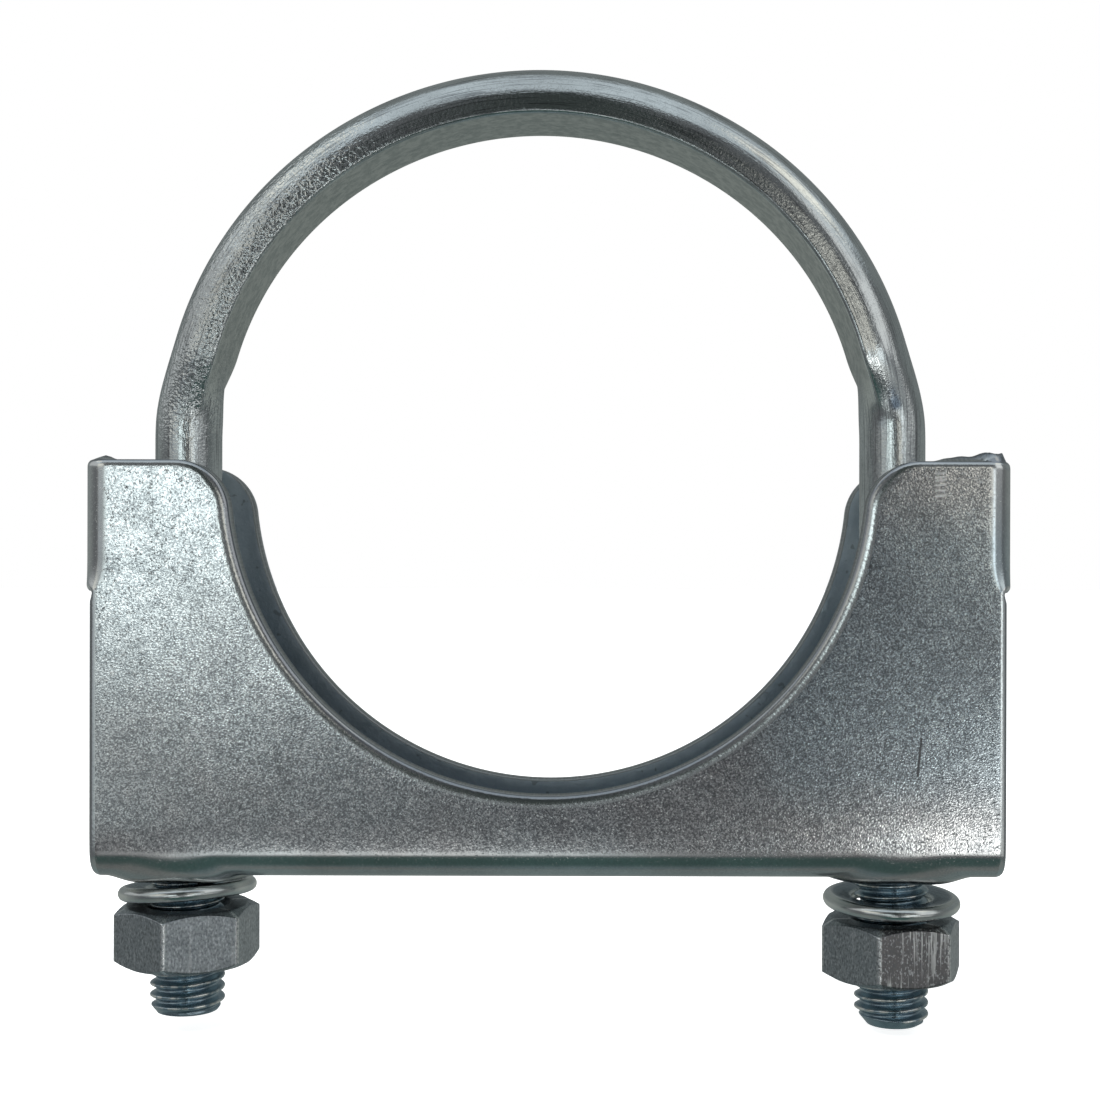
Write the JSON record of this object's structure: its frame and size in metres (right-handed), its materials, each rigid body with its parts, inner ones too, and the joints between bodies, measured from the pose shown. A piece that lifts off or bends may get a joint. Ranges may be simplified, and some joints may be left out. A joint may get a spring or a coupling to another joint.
{
  "type": "exhaust u-bolt saddle clamp",
  "caption": "Zinc-plated saddle clamp for a round pipe: a U-bolt with a flattened bow, a pressed channel saddle, and a washer and nut on each threaded leg.",
  "frame": {"origin": "on the axis of the saddle's round pipe seat, midway across the saddle's width", "axes": "+Y along the pipe, +Z from the saddle to the top of the bow, X from leg to leg with the left leg at -X"},
  "size_m": [0.1202, 0.0208, 0.1279],
  "materials": {
    "zinc_bar": "blue-passivated zinc plate on round bar, speckled by the pressing of the bow",
    "zinc_sheet": "blue-passivated zinc plate on thick sheet, matt and speckled, with bright sheared edges",
    "zinc_washer": "blue-passivated zinc plate, bright on the rounded rim",
    "zinc_nut": "blue-passivated zinc plate, dull grey with worn corners"
  },
  "bodies": {
    "u_bolt": {"u_bolt": "zinc_bar"},
    "saddle": {"saddle": "zinc_sheet"},
    "left_washer": {"left_washer": "zinc_washer"},
    "right_washer": {"right_washer": "zinc_washer"},
    "left_nut": {"left_nut": "zinc_nut"},
    "right_nut": {"right_nut": "zinc_nut"}
  },
  "joints": [
    {"name": "saddle_slide", "type": "slide", "parent": "u_bolt", "child": "saddle", "axis": [0, 0, 1], "range_m": [0, 0.045]},
    {"name": "left_washer_travel", "type": "slide", "parent": "u_bolt", "child": "left_washer", "axis": [0, 0, 1], "range_m": [-0.0061, 0]},
    {"name": "left_nut_spin", "type": "hinge", "parent": "left_washer", "child": "left_nut", "pos_m": [-0.0486, 0, -0.0611], "axis": [0, 0, 1], "range_deg": [-1440, 0]},
    {"name": "right_washer_travel", "type": "slide", "parent": "u_bolt", "child": "right_washer", "axis": [0, 0, 1], "range_m": [-0.0061, 0.0018]},
    {"name": "right_nut_spin", "type": "hinge", "parent": "right_washer", "child": "right_nut", "pos_m": [0.0462, 0, -0.0628], "axis": [0, 0, 1], "range_deg": [-1440, 420]}
  ],
  "couplings": [
    {"joint": "left_washer_travel", "follows": "left_nut_spin", "m_per_rad": 0.00023873},
    {"joint": "right_washer_travel", "follows": "right_nut_spin", "m_per_rad": 0.00023873}
  ]
}
